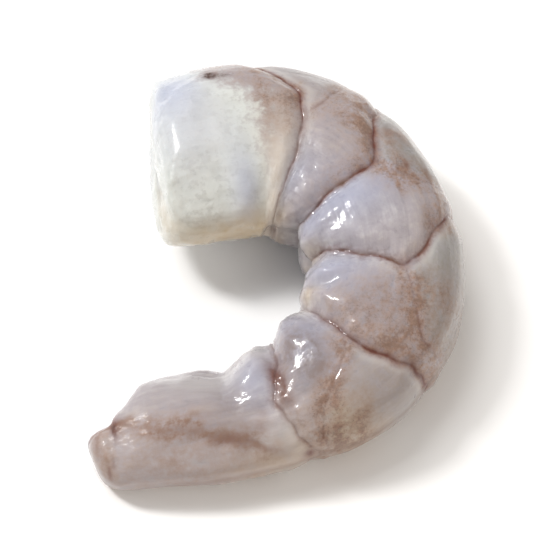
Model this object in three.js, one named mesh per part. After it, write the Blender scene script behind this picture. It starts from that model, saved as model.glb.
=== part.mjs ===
// A raw peeled shrimp, without head and tail fan, curled up and lying on its right side.
// The flesh is one solid: an oval section carried along a bent middle line, swollen between
// the creases that part its six segments. Millimetres, +Z up, standing on Z = 0.
import * as THREE from 'three';

// Driving sizes. Places along the shrimp are measured on its middle line, from the head end.
const LENGTH = 86.7;
const START = { x: -16, y: 14.1 };
const BEND = [[0, 11], [8, 17], [17.7, -12], [27.6, -53], [40.4, -91], [53.2, -133], [63, -160], [75, -170], [86.7, -171]];
const DEPTH = [[0, 22], [6, 24.2], [17.7, 23.6], [27.6, 20.7], [40.4, 20.2], [53.2, 19.5], [63, 16.2], [73, 14.8],
  [80, 13.4], [83.7, 12]];
const WIDTH = [[0, 15.4], [6, 16.4], [17.7, 16.6], [27.6, 16.4], [40.4, 15.6], [53.2, 14.2], [63, 12], [73, 10.6], [80, 9.2],
  [83.7, 7.8]];
const FULLNESS = 2.25; // 2 is an ellipse, and more is a fuller section
const BELLY_NARROWING = 0.1; // the section is a little thinner at the belly than at the back
const PRESSED_FLAT = 1.2; // how deep the underside is flattened by its own weight
const HEAD_LIFT = 3.5; // the head end rides up this far
const LIFT_REACH = 24; // over this length

// The blunt cut at the head end, its face leaning back towards the upper flank
const HEAD_CAP = 5;
const HEAD_BLUNTNESS = 3;
const HEAD_LEAN = 1.2;
const LEAN_REACH = 16;

// The tail end: an oblique shoulder with a small round stump, where the fan was pulled off
const SHOULDER = 3;
const SHOULDER_BLUNTNESS = 2.2;
const STUMP_LENGTH = 1.7;
const STUMP_SHARE = 0.5;
const OBLIQUE_LENGTH = 8;
const OBLIQUE_CUT = 0.5;

// Lines on the flesh as [girth, place] pairs. Girth goes from 0 at the belly to 1 at the back,
// and both flanks have the same lines.
const SKIN_FRONT = [[0, 15.3], [0.32, 15.5], [0.45, 13.5], [0.6, 11.5], [0.72, 8.6], [1, 6.5]];
const CREASES = [
  [[0, 18.6], [0.25, 19.1], [0.5, 18.8], [0.6, 17], [0.72, 13.8], [1, 12.3]],
  [[0, 28.6], [0.3, 29.2], [0.52, 28.5], [0.6, 26.8], [0.75, 24.2], [1, 22.4]],
  [[0, 37.8], [0.25, 39.3], [0.52, 41.9], [0.6, 41], [0.72, 36.9], [1, 35.8]],
  [[0, 50.6], [0.3, 52.2], [0.52, 53.2], [0.66, 51.8], [0.8, 51], [1, 50.4]],
  [[0, 61.8], [0.3, 61.2], [0.5, 62.4], [0.66, 64.6], [0.8, 63.9], [1, 62.3]],
];
// Each of the first four creases forks on the flank, and a smooth wedge of flesh lies in the fork.
const FORKS = [
  [[0.52, 18.8], [0.65, 20], [0.8, 21], [1, 21.4]],
  [[0.54, 28.5], [0.6, 31.6], [0.75, 32.6], [1, 33]],
  [[0.54, 42], [0.62, 44.4], [0.7, 47.2], [0.8, 48.3], [1, 48.6]],
  [[0.5, 53.3], [0.6, 57], [0.7, 59.4], [0.84, 60.2], [1, 60.5]],
];
const FORK_GAP = 1.2; // the least width of a wedge
const ROOT_BULGE = [[0, 68.5], [0.3, 68.6], [0.5, 70]]; // behind the small bulge at the root of the tail
// The seam along the side of the tail, as [place, girth] pairs
const TAIL_SEAM = [[63.5, 0.92], [68, 0.78], [72, 0.64], [75, 0.53], [80, 0.51], [84, 0.48]];

// Relief on the oval section
const PILLOW_HEIGHT = 1.2; // how far the flesh swells between its creases
const PILLOW_RUN = 3.2; // how far from a crease it takes to swell
const LEAST_STRETCH = 0.8; // inside the bend the swellings are crowded, and stay as full as this
const CREASE_DEPTH = 0.6;
const CREASE_HALF_WIDTH = 0.9;
const FORK_SHARE = 0.45; // a fork, the root bulge and the seam are this much as deep as a crease
const BELLY_GROOVE = 1;
const BELLY_HALF_WIDTH = 2.2;
const LUMPS = [[0.3, 0.41, 2, 0.6], [0.22, 0.73, 3, 2.1], [0.15, 1.1, 1, 4]]; // [height, turns per mm, girth waves, shift]

// Fineness
const AROUND = 46;
const BODY_STEP = 1.25;
const HEAD_RINGS = 6;
const TAIL_RINGS = 4;
const STUMP_RINGS = 3;

const DEGREE = Math.PI / 180;
const UP = new THREE.Vector3(0, 0, 1);

const clamp01 = (value) => Math.min(1, Math.max(0, value));
const smooth = (value) => clamp01(value) ** 2 * (3 - 2 * clamp01(value));
const bell = (distance, width) => Math.exp(-((distance / width) ** 2));
const power = (value, exponent) => Math.sign(value) * Math.abs(value) ** exponent;

// A smooth curve through [key, value] knots, level with its end knots outside them
function along(knots, key) {
  const last = knots.length - 1;
  let i = 0;
  while (i < last - 1 && key > knots[i + 1][0]) i += 1;
  const slope = (k) => {
    const before = knots[Math.max(k - 1, 0)];
    const after = knots[Math.min(k + 1, last)];
    return (after[1] - before[1]) / (after[0] - before[0]);
  };
  const gap = knots[i + 1][0] - knots[i][0];
  const t = clamp01((key - knots[i][0]) / gap);
  const rise = t * t * (3 - 2 * t);
  return knots[i][1] * (1 - rise) + knots[i + 1][1] * rise
    + gap * (slope(i) * t * (1 - t) ** 2 - slope(i + 1) * t * t * (1 - t));
}

// The middle line, walked in short steps that follow the bend
const WALK = 0.1;
const middle = [new THREE.Vector2(START.x, START.y)];
for (let s = 0; s < LENGTH; s += WALK) {
  const heading = along(BEND, s + WALK / 2) * DEGREE;
  const last = middle[middle.length - 1];
  middle.push(new THREE.Vector2(last.x + WALK * Math.cos(heading), last.y + WALK * Math.sin(heading)));
}

function spine(s) {
  const step = Math.min(Math.max(s, 0), LENGTH) / WALK;
  const i = Math.min(Math.floor(step), middle.length - 2);
  const at = middle[i].clone().lerp(middle[i + 1], step - i);
  const lift = HEAD_LIFT * clamp01(1 - s / LIFT_REACH) ** 2;
  return new THREE.Vector3(at.x, at.y, along(WIDTH, s) / 2 - PRESSED_FLAT + lift);
}

// Directions at a place: along the body, out to the back, and up through the upper flank
function directions(s) {
  const tangent = spine(s + 0.3).sub(spine(s - 0.3)).normalize();
  const back = new THREE.Vector3().crossVectors(UP, tangent).normalize();
  const flank = new THREE.Vector3().crossVectors(tangent, back);
  return { tangent, back, flank };
}

// Distance in millimetres from a point of the flesh to a line that starts at its first girth
function distanceTo(line, s, girth, stretch, halfGirth) {
  const first = line[0][0];
  const last = line[line.length - 1][0];
  const on = Math.min(Math.max(girth, first), last);
  const slope = (along(line, on + 0.01) - along(line, on - 0.01)) / 0.02 / halfGirth;
  const across = ((s - along(line, on)) * stretch) / Math.hypot(1, slope * stretch);
  return Math.hypot(across, (girth - on) * halfGirth);
}

function relief(s, angle, stretch, halfGirth) {
  const girth = 1 - Math.abs(angle) / Math.PI;
  const far = (line) => distanceTo(line, s, girth, stretch, halfGirth);
  const deep = Math.min(...[SKIN_FRONT, ...CREASES].map(far));
  const seamGirth = along(TAIL_SEAM, s);
  const seam = Math.hypot((girth - seamGirth) * halfGirth, Math.max(TAIL_SEAM[0][0] - s, 0));
  const shallow = Math.min(seam, far(ROOT_BULGE), ...FORKS.map(far));
  const dip = PILLOW_HEIGHT * Math.max(bell(deep, PILLOW_RUN), FORK_SHARE * bell(shallow, PILLOW_RUN));
  const crease = CREASE_DEPTH * Math.max(bell(deep, CREASE_HALF_WIDTH), FORK_SHARE * bell(shallow, CREASE_HALF_WIDTH));
  const belly = BELLY_GROOVE * bell(girth * halfGirth, BELLY_HALF_WIDTH) * smooth((s - 14) / 6) * smooth((72 - s) / 8);
  const lumps = LUMPS.reduce((sum, [height, pitch, waves, shift]) => (
    sum + height * Math.sin(pitch * s + shift) * Math.cos(waves * angle + shift)), 0);
  return lumps - dip - crease - belly;
}

// One point of the flesh. Angle is 0 at the back, positive over the upper flank, 180 degrees at the belly.
function skinPoint(s, share, angle) {
  const { tangent, back, flank } = directions(s);
  const halfDepth = along(DEPTH, s) / 2;
  const halfWidth = along(WIDTH, s) / 2;
  const oblique = OBLIQUE_CUT * smooth((s - LENGTH + OBLIQUE_LENGTH) / OBLIQUE_LENGTH);
  let x = power(Math.cos(angle), 2 / FULLNESS);
  let y = power(Math.sin(angle), 2 / FULLNESS) * (1 - BELLY_NARROWING * (1 - Math.cos(angle)) / 2);
  if (x < 0) x *= 1 - oblique;
  const turn = (along(BEND, s - 0.5) - along(BEND, s + 0.5)) * DEGREE;
  const stretch = Math.max(1 + turn * halfDepth * x, LEAST_STRETCH);
  const halfGirth = (Math.PI / 2) * (halfDepth + halfWidth);
  const out = relief(s, angle, stretch, halfGirth);
  const normal = new THREE.Vector2(x / halfDepth, y / halfWidth).normalize();
  x = share * (x * halfDepth + out * normal.x);
  y = share * (y * halfWidth + out * normal.y);
  const lean = HEAD_LEAN * (y / halfWidth) * clamp01(1 - s / LEAN_REACH);
  const point = spine(s).addScaledVector(back, x).addScaledVector(flank, y).addScaledVector(tangent, lean);
  point.z = Math.max(point.z, 0);
  return point;
}

// Rings from pole to pole. Each has the share of the full section that it reaches, and its place at a girth:
// the rings of the body follow the creases, so that every crease is a crisp line.
function stations() {
  const rings = [];
  for (let i = 1; i <= HEAD_RINGS; i += 1) {
    const angle = (i / HEAD_RINGS) * 90 * DEGREE;
    const rim = 2 / HEAD_BLUNTNESS;
    const s = HEAD_CAP * (1 - Math.max(Math.cos(angle), 0) ** rim);
    rings.push({ place: () => s, share: Math.sin(angle) ** rim });
  }
  const shoulder = LENGTH - STUMP_LENGTH - SHOULDER;
  const lines = [() => HEAD_CAP, (girth) => along(SKIN_FRONT, girth)];
  CREASES.forEach((crease, k) => {
    lines.push((girth) => along(crease, girth));
    if (k < FORKS.length) lines.push((girth) => Math.max(along(FORKS[k], girth), along(crease, girth) + FORK_GAP));
  });
  lines.push((girth) => along(ROOT_BULGE, girth), () => shoulder);
  for (let k = 0; k < lines.length - 1; k += 1) {
    const widest = Math.max(...[0.1, 0.5, 0.9].map((girth) => lines[k + 1](girth) - lines[k](girth)));
    const steps = Math.ceil(widest / BODY_STEP);
    for (let i = 1; i <= steps; i += 1) {
      const place = (girth) => lines[k](girth) + ((lines[k + 1](girth) - lines[k](girth)) * i) / steps;
      rings.push({ place, share: 1 });
    }
  }
  for (let i = 1; i <= TAIL_RINGS; i += 1) {
    const angle = (i / TAIL_RINGS) * 90 * DEGREE;
    const rim = 2 / SHOULDER_BLUNTNESS;
    const share = STUMP_SHARE + (1 - STUMP_SHARE) * Math.max(Math.cos(angle), 0) ** rim;
    const s = shoulder + SHOULDER * Math.sin(angle) ** rim;
    rings.push({ place: () => s, share });
  }
  for (let i = 1; i <= STUMP_RINGS; i += 1) {
    const angle = (i / (STUMP_RINGS + 1)) * 90 * DEGREE;
    const s = LENGTH - STUMP_LENGTH * (1 - Math.sin(angle));
    rings.push({ place: () => s, share: STUMP_SHARE * Math.cos(angle) });
  }
  return rings;
}

function fleshGeometry() {
  const rings = stations();
  const positions = [];
  const faces = [];
  for (const { place, share } of rings) {
    for (let j = 0; j < AROUND; j += 1) {
      const turn = (j <= AROUND / 2 ? j : j - AROUND) / AROUND;
      const girth = 1 - 2 * Math.abs(turn);
      positions.push(...skinPoint(place(girth), share, turn * 2 * Math.PI));
    }
  }
  const at = (ring, j) => ring * AROUND + (j % AROUND);
  for (let ring = 0; ring < rings.length - 1; ring += 1) {
    for (let j = 0; j < AROUND; j += 1) {
      faces.push(at(ring, j), at(ring + 1, j + 1), at(ring + 1, j));
      faces.push(at(ring, j), at(ring, j + 1), at(ring + 1, j + 1));
    }
  }
  const headPole = rings.length * AROUND;
  const tailPole = headPole + 1;
  positions.push(...spine(0), ...spine(LENGTH));
  for (let j = 0; j < AROUND; j += 1) {
    faces.push(headPole, at(0, j + 1), at(0, j));
    faces.push(tailPole, at(rings.length - 1, j), at(rings.length - 1, j + 1));
  }
  const geometry = new THREE.BufferGeometry();
  geometry.setAttribute('position', new THREE.Float32BufferAttribute(positions, 3));
  geometry.setIndex(faces);
  geometry.computeVertexNormals();
  return geometry;
}

const flesh = new THREE.MeshStandardMaterial({ color: 0xb8aca8, roughness: 0.3, metalness: 0 });
const geometry = fleshGeometry();
const shrimp = new THREE.Mesh(geometry, flesh);
shrimp.name = 'shrimp';

// The origin is on the floor, under the middle of the shrimp's box.
geometry.computeBoundingBox();
const centre = geometry.boundingBox.getCenter(new THREE.Vector3());
shrimp.position.set(-centre.x, -centre.y, 0);

const group = new THREE.Group();
group.add(shrimp);

export default group;
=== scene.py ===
# %% [markdown]
# # A raw peeled shrimp
# This lesson dresses a plain solid of a peeled shrimp as wet, half clear flesh. The solid fixes the size
# and the place. A finer skin is built over the same rule, a chain of swellings between creases, and gets a
# finish that is mixed for it. Lengths in the lists are in millimetres, and the scene is in metres.

# %% Load the frame
import math
import bpy
import numpy as np
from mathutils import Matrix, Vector


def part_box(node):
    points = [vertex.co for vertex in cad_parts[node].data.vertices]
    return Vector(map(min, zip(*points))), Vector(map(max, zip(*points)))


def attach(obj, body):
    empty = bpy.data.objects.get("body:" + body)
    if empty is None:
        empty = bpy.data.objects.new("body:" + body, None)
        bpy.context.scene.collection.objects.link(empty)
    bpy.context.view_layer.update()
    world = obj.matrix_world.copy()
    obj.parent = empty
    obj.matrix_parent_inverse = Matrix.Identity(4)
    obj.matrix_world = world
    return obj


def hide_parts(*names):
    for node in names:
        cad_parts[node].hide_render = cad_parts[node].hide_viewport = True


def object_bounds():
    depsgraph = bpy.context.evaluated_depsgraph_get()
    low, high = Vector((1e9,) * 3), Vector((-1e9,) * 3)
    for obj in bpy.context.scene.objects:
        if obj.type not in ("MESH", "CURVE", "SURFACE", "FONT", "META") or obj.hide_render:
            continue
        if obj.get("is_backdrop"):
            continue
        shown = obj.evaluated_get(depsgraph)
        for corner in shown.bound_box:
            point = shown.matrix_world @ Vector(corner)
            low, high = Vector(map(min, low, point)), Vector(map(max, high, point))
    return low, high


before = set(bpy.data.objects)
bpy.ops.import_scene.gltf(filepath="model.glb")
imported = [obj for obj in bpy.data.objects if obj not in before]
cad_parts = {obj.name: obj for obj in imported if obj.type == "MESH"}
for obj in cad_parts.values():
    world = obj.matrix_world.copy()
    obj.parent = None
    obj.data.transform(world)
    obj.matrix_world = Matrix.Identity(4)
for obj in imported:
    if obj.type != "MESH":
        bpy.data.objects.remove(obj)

MM = 0.001
scene = bpy.context.scene
cad_low, cad_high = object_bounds()


def size(low, high, unit=MM):
    """How far a box reaches along each axis, in millimetres, to be printed."""
    return [round(float(b - a) / unit, 1) for a, b in zip(low, high)]


print("the solid is", size(cad_low, cad_high), "mm")

# %% [markdown]
# ## Camera
# The shrimp lies on its side and is seen from the front and well above. A long lens far away keeps the far
# half as large as the near half. The picture is square, so the sensor's width is the height that fits too.

# %% Camera
VIEW_ELEVATION = 60
VIEW_DISTANCE = 0.45
VIEW_WIDTH = 0.0685
AIM = Vector((-0.0004, -0.0007, 0.007))
NEAREST_SEEN = 0.01
FARTHEST_SEEN = 20

camera_data = bpy.data.cameras.new("camera")
camera = bpy.data.objects.new("camera", camera_data)
scene.collection.objects.link(camera)
camera_data.lens = camera_data.sensor_width * VIEW_DISTANCE / VIEW_WIDTH
tilt = math.radians(VIEW_ELEVATION)
camera.location = AIM + VIEW_DISTANCE * Vector((0, -math.cos(tilt), math.sin(tilt)))
camera.rotation_euler = (math.pi / 2 - tilt, 0, 0)
camera_data.clip_start = NEAREST_SEEN
camera_data.clip_end = FARTHEST_SEEN
scene.camera = camera
print("lens", round(camera_data.lens), "mm")

# %% [markdown]
# ## Floor
# The shrimp lies on a bare white surface. One large square does for it, because its edges are far outside
# the picture. It isn't part of the shrimp, so it is marked as a backdrop.

# %% Floor
FLOOR_HALF = 1.5
FLOOR_COLOUR = (0.93, 0.925, 0.915, 1)
FLOOR_ROUGHNESS = 0.55

floor_mesh = bpy.data.meshes.new("floor")
corners = [(x * FLOOR_HALF, y * FLOOR_HALF, 0) for x, y in ((-1, -1), (1, -1), (1, 1), (-1, 1))]
floor_mesh.from_pydata(corners, [], [(0, 1, 2, 3)])
floor = bpy.data.objects.new("floor", floor_mesh)
scene.collection.objects.link(floor)
white_table = bpy.data.materials.new("white_table")
white_table.use_nodes = True
table_shader = white_table.node_tree.nodes["Principled BSDF"]
table_shader.inputs["Base Color"].default_value = FLOOR_COLOUR
table_shader.inputs["Roughness"].default_value = FLOOR_ROUGHNESS
floor_mesh.materials.append(white_table)
floor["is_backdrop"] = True
print("floor", 2 * FLOOR_HALF, "m wide")

# %% [markdown]
# ## Light
# An even white surround gives soft shadows. Wet flesh also needs something small and bright to mirror, so a
# strip light stands at the upper left and puts a crisp white glint on every swelling. A large panel
# overhead and a warm one low in front fill the rest. The flesh doesn't mirror these two, so the glints stay
# small.

# %% Light
SURROUND = 0.4
WARM = (1, 0.88, 0.76)

scene.view_settings.view_transform = "Standard"
scene.world = bpy.data.worlds.new("tent")
scene.world.use_nodes = True
scene.world.node_tree.nodes["Background"].inputs["Color"].default_value = (1, 1, 1, 1)
scene.world.node_tree.nodes["Background"].inputs["Strength"].default_value = SURROUND


def area_light(name, direction, distance, size, power, colour=(1, 1, 1), mirrored=True):
    """A rectangular light that faces the shrimp from a direction."""
    data = bpy.data.lights.new(name, "AREA")
    data.shape = "RECTANGLE"
    data.size, data.size_y = size
    data.energy = power
    data.color = colour
    lamp = bpy.data.objects.new(name, data)
    towards = Vector(direction).normalized()
    lamp.location = AIM + distance * towards
    lamp.rotation_euler = towards.to_track_quat("Z", "Y").to_euler()
    lamp.visible_glossy = mirrored
    scene.collection.objects.link(lamp)


area_light("strip", (-0.62, 0.3, 0.72), distance=0.8, size=(0.13, 0.24), power=4.1)
area_light("panel", (-0.35, 0.5, 1.0), distance=1.1, size=(0.6, 0.6), power=5.5, mirrored=False)
area_light("fill", (0.55, -0.75, 0.6), distance=1.1, size=(0.6, 0.6), power=4.5, mirrored=False, colour=WARM)

# %% [markdown]
# ## Smooth curves through knots
# A curled shrimp is a tube along a bent line that gets thinner towards the tail. Each size is a short list
# of (place, value) knots with a smooth cubic between them, which is easier to read and change than a curve
# drawn by hand. The small helpers beside it make soft steps and soft spots.

# %% Curves, steps and bells


def along(knots, key):
    """A smooth curve through (key, value) knots, level outside them. key may be an array."""
    keys, values = np.array(knots, float).T
    slope = np.empty_like(values)
    slope[1:-1] = (values[2:] - values[:-2]) / (keys[2:] - keys[:-2])
    slope[0] = (values[1] - values[0]) / (keys[1] - keys[0])
    slope[-1] = (values[-1] - values[-2]) / (keys[-1] - keys[-2])
    key = np.asarray(key, float)
    i = np.clip(np.searchsorted(keys, key, side="left") - 1, 0, len(keys) - 2)
    gap = keys[i + 1] - keys[i]
    t = np.clip((key - keys[i]) / gap, 0, 1)
    eased = t * t * (3 - 2 * t)
    bend = gap * (slope[i] * t * (1 - t) ** 2 - slope[i + 1] * t * t * (1 - t))
    return values[i] * (1 - eased) + values[i + 1] * eased + bend


def smooth(value):
    """An S-shaped step from 0 to 1."""
    value = np.clip(value, 0, 1)
    return value * value * (3 - 2 * value)


def rise(value, start, run):
    """A soft step that is 0 up to the start and 1 from a run later."""
    return smooth((value - start) / run)


def fall(value, end, run):
    """A soft step down that reaches 0 at the end and is 1 until a run before it."""
    return smooth((end - value) / run)


def bell(distance, width):
    """1 at no distance, falling to nothing beyond about twice the width."""
    return np.exp(-((distance / width) ** 2))


def power(value, exponent):
    """A power that keeps the sign."""
    return np.sign(value) * np.abs(value) ** exponent


print("half way between knots 0 and 2:", float(along([(0, 0), (1, 2)], 0.5)))

# %% [markdown]
# ## The middle line of the body
# BEND says which way the body heads at each place, in degrees, and walking along those headings gives the
# middle line. DEPTH is measured from belly to back and WIDTH from flank to flank. Soft flesh is pressed
# flat on the table, so the middle line is a little lower than half the width, and the thick head end rides
# up.

# %% The body's sizes
LENGTH = 86.7
START = (-16, 14.1)
BEND = [
    (0, 11), (8, 17), (17.7, -12), (27.6, -53), (40.4, -91), (53.2, -133), (63, -160), (75, -170),
    (86.7, -171),
]
DEPTH = [
    (0, 23.6), (6, 24.2), (17.7, 23.6), (27.6, 20.7), (40.4, 20.2), (53.2, 19.5), (63, 16.2), (73, 14.8),
    (80, 13.4), (83.7, 12),
]
WIDTH = [
    (0, 15.4), (6, 16.4), (17.7, 16.6), (27.6, 16.4), (40.4, 15.6), (53.2, 14.2), (63, 12), (73, 10.6),
    (80, 9.2), (83.7, 7.8),
]
PRESSED_FLAT = 1.2
HEAD_LIFT = 3.5
LIFT_REACH = 24
WALK = 0.1
NEARBY = 0.3

steps = np.arange(math.ceil(LENGTH / WALK))
heading = np.radians(along(BEND, (steps + 0.5) * WALK))
middle_x = START[0] + np.concatenate([[0], np.cumsum(WALK * np.cos(heading))])
middle_y = START[1] + np.concatenate([[0], np.cumsum(WALK * np.sin(heading))])
middle_s = np.arange(len(steps) + 1) * WALK


def spine(s):
    """The middle of the flesh at a place along the body."""
    on = np.clip(s, 0, LENGTH)
    lift = HEAD_LIFT * np.clip(1 - s / LIFT_REACH, 0, 1) ** 2
    x = np.interp(on, middle_s, middle_x)
    y = np.interp(on, middle_s, middle_y)
    return np.stack([x, y, along(WIDTH, s) / 2 - PRESSED_FLAT + lift], -1)


def directions(s):
    """Unit vectors along the body, out to the back, and up through the upper flank."""
    tangent = spine(s + NEARBY) - spine(s - NEARBY)
    tangent /= np.linalg.norm(tangent, axis=-1, keepdims=True)
    back = np.cross([0, 0, 1.0], tangent)
    back /= np.linalg.norm(back, axis=-1, keepdims=True)
    return tangent, back, np.cross(tangent, back)


print("the body turns", abs(BEND[-1][1] - BEND[0][1]), "degrees over", LENGTH, "mm")

# %% [markdown]
# ## The creases
# Shrimp flesh is a row of muscle blocks. Where two meet there is a crease, which forks on the flank, with a
# smooth wedge of flesh in the fork. Each line is a list of (girth, place) pairs. Girth is 0 at the belly
# and 1 at the back, so one list serves both flanks. The bare flesh of the head end stops at the skin's
# front edge, the tail begins at a bulge, and a seam runs along the tail, written as (place, girth) pairs.

# %% Lines on the flesh
SKIN_FRONT = [(0, 15.3), (0.32, 15.5), (0.45, 13.5), (0.6, 11.5), (0.72, 8.6), (1, 6.5)]
CREASES = [
    [(0, 18.4), (0.3, 19.2), (0.42, 19.3), (0.53, 18.8), (0.6, 18.1), (0.65, 17.4), (0.7, 16), (0.8, 14),
     (1, 12.8)],
    [(0, 28.6), (0.23, 29.4), (0.31, 28.9), (0.41, 28.6), (0.53, 28.4), (0.59, 27.8), (0.66, 25.8),
     (0.75, 24.4), (0.88, 23.4), (1, 22.8)],
    [(0, 37.4), (0.21, 37.8), (0.3, 38.6), (0.42, 39.9), (0.52, 41.1), (0.57, 41.7), (0.61, 40.7),
     (0.66, 39.1), (0.7, 37.7), (0.8, 36), (1, 34.9)],
    [(0, 50.8), (0.19, 51.4), (0.34, 51.7), (0.49, 52.4), (0.56, 52.3), (0.61, 51.7), (0.68, 51.3),
     (0.77, 50.9), (1, 50.2)],
    [(0, 60), (0.2, 60.6), (0.39, 61.8), (0.46, 62.7), (0.56, 63.7), (0.64, 63.4), (0.8, 62.4), (1, 61.4)],
]
FORKS = [
    [(0.52, 18.8), (0.65, 20), (0.8, 21), (1, 21.4)],
    [(0.58, 28), (0.61, 30), (0.65, 31.1), (0.71, 32.1), (0.8, 32.8), (1, 33)],
    [(0.57, 41.9), (0.62, 44.4), (0.7, 47.2), (0.8, 48.3), (1, 48.6)],
    [(0.5, 53), (0.6, 57), (0.7, 59.4), (0.84, 60.2), (1, 60.5)],
]
ROOT_BULGE = [(0, 68.5), (0.3, 68.6), (0.5, 70)]
TAIL_SEAM = [
    (62.5, 0.94), (65, 0.85), (68, 0.75), (70, 0.7), (73, 0.63), (75.6, 0.6), (78.5, 0.55), (82, 0.47),
    (84.5, 0.38),
]
print(len(CREASES), "creases and", len(FORKS), "forks on each flank")

# %% [markdown]
# ## Reading the lines
# Two short functions say where a line crosses a girth and where a fork runs before it has left its crease.
# Grown lines are never quite smooth, so two sine waves, each with a height in millimetres, a number of
# waves and a phase, make them waver.

# %% Places on the lines
WAVERS = ((0.14, 21, 1), (0.1, 52, 3))
FORK_GAP = 1.2


def line_place(line, girth):
    """Where a line crosses each girth."""
    crossing = along(line, girth)
    for height, waves, phase in WAVERS:
        crossing = crossing + height * np.sin(waves * girth + phase * line[0][1])
    return crossing


def fork_place(k, girth):
    """A fork's place. Where the fork hasn't left its crease yet, it follows the crease at a small gap."""
    return np.maximum(line_place(FORKS[k], girth), line_place(CREASES[k], girth) + FORK_GAP)


print("on the flank, the first crease is at", round(float(line_place(CREASES[0], np.array(0.5))), 1), "mm")

# %% [markdown]
# ## The grid of the skin
# The skin is a grid of rings. Rings at equal steps would cross the slanting creases and leave them jagged,
# so each ring follows the creases on either side of it. The widest gap between two lines, tried at three
# girths, says how many rings go between them. The ends close with shrinking rings: a blunt dome at the head
# end, and a rounder one at the tail.

# %% Rings
HEAD_CAP = 4
HEAD_BLUNTNESS = 4
TAIL_CAP = 3.8
TAIL_BLUNTNESS = 2.5
RING_STEP = 0.3
HEAD_RINGS = 30
TAIL_RINGS = 28
CROWDING = 0.65
TRIED_GIRTHS = (0.1, 0.5, 0.9)


def level(place):
    """A ring at one place, whatever the girth."""
    return lambda girth: np.full_like(girth, place)


def between(first, last, part):
    """A ring part of the way from one line to the next. The rings crowd together beside both lines."""
    part -= CROWDING * math.sin(2 * math.pi * part) / (2 * math.pi)
    return lambda girth: first(girth) + (last(girth) - first(girth)) * part


def guides():
    """The lines that the rings follow, from the head end to the tail."""
    lines = [level(HEAD_CAP), lambda girth: line_place(SKIN_FRONT, girth)]
    for k, crease in enumerate(CREASES):
        lines.append(lambda girth, crease=crease: line_place(crease, girth))
        if k < len(FORKS):
            lines.append(lambda girth, k=k: fork_place(k, girth))
    return lines + [lambda girth: line_place(ROOT_BULGE, girth), level(LENGTH - TAIL_CAP)]


def rings():
    """(place at a girth, share of the full section) for each ring, from the head end to the tail."""
    found = []
    rim = 2 / HEAD_BLUNTNESS
    for angle in np.linspace(0, math.pi / 2, HEAD_RINGS + 1)[1:]:
        found.append((level(HEAD_CAP * (1 - max(math.cos(angle), 0) ** rim)), math.sin(angle) ** rim))
    lines = guides()
    for first, last in zip(lines, lines[1:]):
        widest = max(float(last(np.array(g)) - first(np.array(g))) for g in TRIED_GIRTHS)
        count = math.ceil(widest / RING_STEP)
        found += [(between(first, last, i / count), 1.0) for i in range(1, count + 1)]
    rim = 2 / TAIL_BLUNTNESS
    for angle in np.linspace(0, math.pi / 2, TAIL_RINGS + 2)[1:-1]:
        found.append((level(LENGTH - TAIL_CAP * (1 - math.sin(angle) ** rim)), math.cos(angle) ** rim))
    return found


skin_rings = rings()
print(len(skin_rings), "rings")

# %% [markdown]
# ## Points on the rings
# Each ring has the same number of points, so the skin is a few arrays with one row for each ring: the place
# along the body, the girth, the angle around the body and the share of the full section. Working on whole
# arrays is much faster than a loop over the points.

# %% Points on the rings
AROUND = 210

turns = np.arange(AROUND)
turns = np.where(turns <= AROUND / 2, turns, turns - AROUND) / AROUND
girth = 1 - 2 * np.abs(turns)
place = np.stack([ring(girth) for ring, share in skin_rings])
share = np.array([share for ring, share in skin_rings])[:, None] * np.ones_like(place)
angle = np.broadcast_to(turns * 2 * math.pi, place.shape)
girth = np.broadcast_to(girth, place.shape)
print(place.shape[0], "rings of", AROUND, "points:", place.size * 2, "triangles")

# %% [markdown]
# ## The plain body
# The section is a superellipse: a little fuller than an ellipse, fuller still at the head end, and slightly
# narrower at the belly. The tail's belly side is cut away at a slant, and the head end leans. Each point
# also keeps which way is out, how much the curl stretches the flesh there, and where it would lie in a
# straight body, so that patterns can follow the curl.

# %% Plain body
FULLNESS = 2.25
HEAD_FULLNESS = 1.1
BELLY_NARROWING = 0.1
HEAD_LEAN = 0.2
LEAN_REACH = 16
OBLIQUE_FROM = 78.5
OBLIQUE_LENGTH = 6
OBLIQUE_CUT = 0.74
LEAST_STRETCH = 0.8
HALF_MM = 0.5

tangent, back, flank = directions(place)
half_depth = along(DEPTH, place) / 2
half_width = along(WIDTH, place) / 2
half_girth = (math.pi / 2) * (half_depth + half_width)
near_head = np.clip(1 - place / LEAN_REACH, 0, 1)
fullness = FULLNESS + HEAD_FULLNESS * near_head
x = power(np.cos(angle), 2 / fullness)
y = power(np.sin(angle), 2 / fullness) * (1 - BELLY_NARROWING * (1 - np.cos(angle)) / 2)
oblique = OBLIQUE_CUT * rise(place, OBLIQUE_FROM, OBLIQUE_LENGTH)
x = np.where(x < 0, x * (1 - oblique), x)
turning = np.radians(along(BEND, place - HALF_MM) - along(BEND, place + HALF_MM))
stretch = np.maximum(1 + turning * half_depth * x, LEAST_STRETCH)
out = np.stack([x / half_depth, y / half_width], -1)
out /= np.linalg.norm(out, axis=-1, keepdims=True)
x, y = share * x * half_depth, share * y * half_width
lean = HEAD_LEAN * near_head / half_width
body = spine(place) + x[..., None] * back + y[..., None] * flank + (lean * y)[..., None] * tangent
outward = out[..., :1] * back + out[..., 1:] * flank + (lean * out[..., 1])[..., None] * tangent
end_on = np.where(place < LENGTH / 2, -1, 1) * np.sqrt(1 - share**2)
outward = share[..., None] * outward + end_on[..., None] * tangent
straight = np.stack([place, x, y], -1)
print("plain body", size(body.min((0, 1)), body.max((0, 1)), unit=1), "mm")

# %% [markdown]
# ## The cut face at the head end
# Where the head was pulled off, the muscle shows end on. A bluish groove runs across the cut, where the
# muscles of both flanks meet, and the gut leaves a small dark spot near the back. Both lie on the blunt end
# cap, whose rings are known by their share of the full section.

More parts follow.
